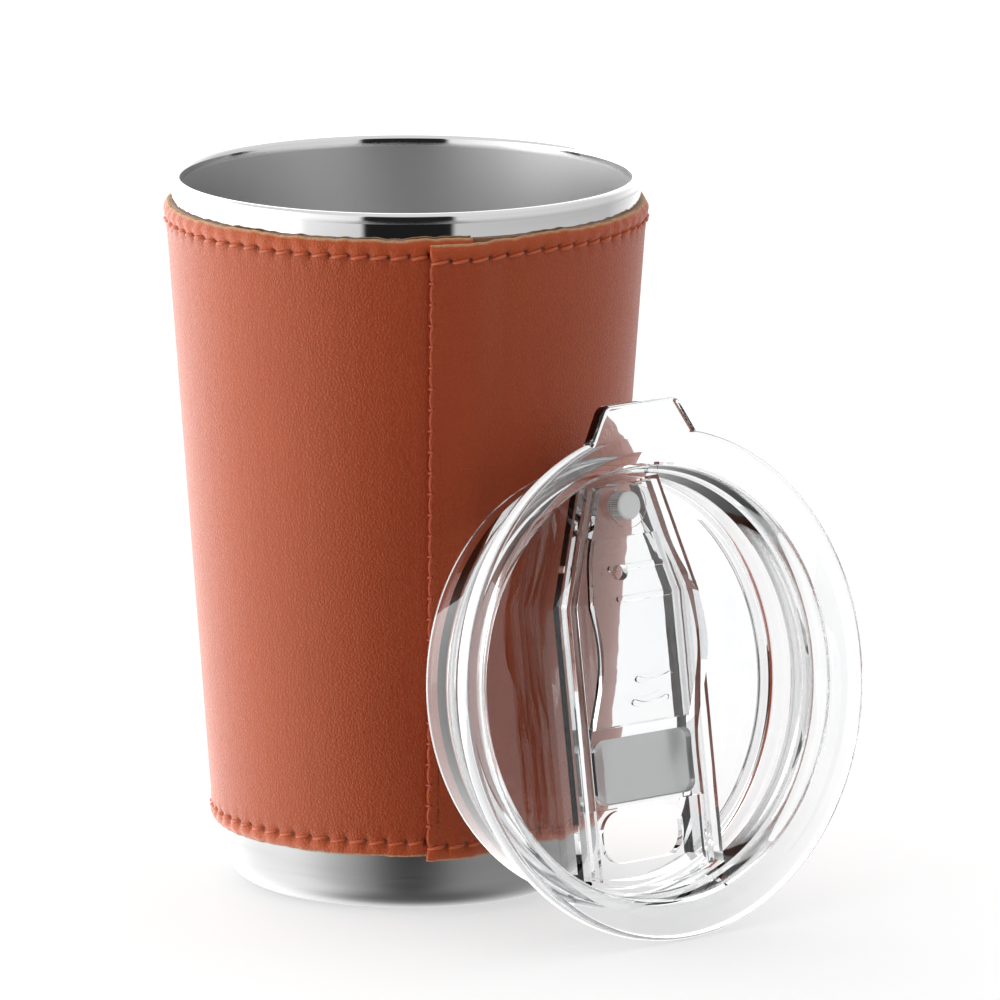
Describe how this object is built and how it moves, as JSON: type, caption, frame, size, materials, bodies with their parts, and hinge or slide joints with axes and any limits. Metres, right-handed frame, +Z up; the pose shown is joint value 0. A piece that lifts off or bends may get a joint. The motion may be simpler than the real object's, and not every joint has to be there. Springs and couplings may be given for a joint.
{
  "type": "insulated tumbler with lid",
  "caption": "Double-walled steel tumbler in a stitched leather sleeve, with its clear sliding lid off and leaning on the side.",
  "frame": {"origin": "centre of the cup's foot ring, on the surface it stands on", "axes": "+Z up along the cup's axis; the lid leans on the -Y side with its top facing -Y"},
  "size_m": [0.0929, 0.1133, 0.1253],
  "materials": {
    "brushed_steel": "brushed round the cup",
    "satin_steel": "fine satin, polished at the lip",
    "port_glass": "fused solder glass",
    "getter_metal": "matt sintered",
    "reflecting_foil": "bright foil",
    "lining": "raw cream backing",
    "sleeve_leather": "orange-brown, fine grain, soft sheen",
    "thread": "orange-red twisted thread",
    "clear_lid": "clear glossy moulding",
    "clear_slider": "clear glossy moulding",
    "gasket_silicone": "translucent soft silicone",
    "seal_silicone": "matt grey silicone"
  },
  "bodies": {
    "cup": {"outer_shell": "brushed_steel", "inner_cup": "satin_steel", "vacuum_base": "brushed_steel", "port_seal": "port_glass", "base_cover": "satin_steel", "getter": "getter_metal", "heat_foil": "reflecting_foil", "sleeve_lining": "lining", "leather_sleeve": "sleeve_leather", "top_stitching": "thread", "bottom_stitching": "thread", "seam_stitching": "thread"},
    "lid": {"lid_body": "clear_lid", "lid_gasket": "gasket_silicone"},
    "slider": {"slider": "clear_slider", "spout_seal": "seal_silicone", "vent_seal": "seal_silicone"}
  },
  "joints": [
    {"name": "lid_lift", "type": "slide", "parent": "cup", "child": "lid", "axis": [0, -0.2079, 0.9781], "range_m": [0, 0.13]},
    {"name": "slider_slide", "type": "slide", "parent": "lid", "child": "slider", "axis": [0, -0.1495, -0.9888], "range_m": [0, 0.01185]}
  ]
}
